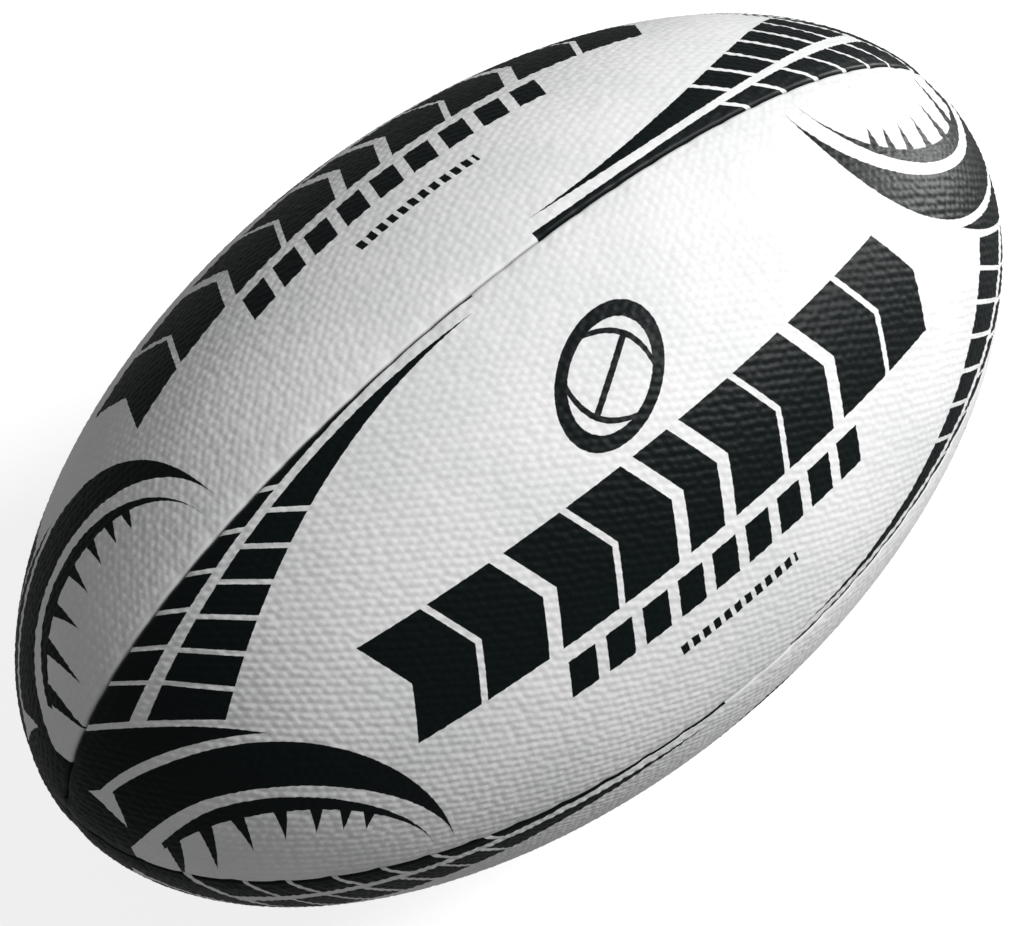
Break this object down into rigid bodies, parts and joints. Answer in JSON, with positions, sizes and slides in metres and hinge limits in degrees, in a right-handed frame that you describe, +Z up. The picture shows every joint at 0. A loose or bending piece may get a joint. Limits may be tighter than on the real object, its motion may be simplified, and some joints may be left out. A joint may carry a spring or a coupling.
{
  "type": "rugby ball",
  "caption": "Stitched oval ball of pimpled rubber panels over textile plies, with a bladder and a needle valve, for passing and kicking.",
  "frame": {"origin": "centre of the ball", "axes": "+X along the long axis from tip to tip; the four seams run from tip to tip along +Z, -Y, -Z and +Y; +Z up"},
  "size_m": [0.3, 0.1784, 0.1784],
  "materials": {
    "cover_rubber": "satin",
    "ply_fabric": "matte",
    "seam_thread": "matte",
    "bladder_rubber": "matte",
    "valve_rubber": "satin",
    "patch_fabric": "matte"
  },
  "bodies": {
    "root": {"panel_back_top_skin": "cover_rubber", "panel_back_top_ply_1": "ply_fabric", "panel_back_top_ply_2": "ply_fabric", "panel_back_top_ply_3": "ply_fabric", "panel_front_top_skin": "cover_rubber", "panel_front_top_ply_1": "ply_fabric", "panel_front_top_ply_2": "ply_fabric", "panel_front_top_ply_3": "ply_fabric", "panel_front_bottom_skin": "cover_rubber", "panel_front_bottom_ply_1": "ply_fabric", "panel_front_bottom_ply_2": "ply_fabric", "panel_front_bottom_ply_3": "ply_fabric", "panel_back_bottom_skin": "cover_rubber", "panel_back_bottom_ply_1": "ply_fabric", "panel_back_bottom_ply_2": "ply_fabric", "panel_back_bottom_ply_3": "ply_fabric", "seam_thread_top": "seam_thread", "seam_thread_front": "seam_thread", "seam_thread_bottom": "seam_thread", "seam_thread_back": "seam_thread", "bladder": "bladder_rubber", "valve_housing": "valve_rubber", "valve_plug": "valve_rubber", "valve_patch": "patch_fabric", "balance_patch": "patch_fabric"}
  },
  "joints": []
}
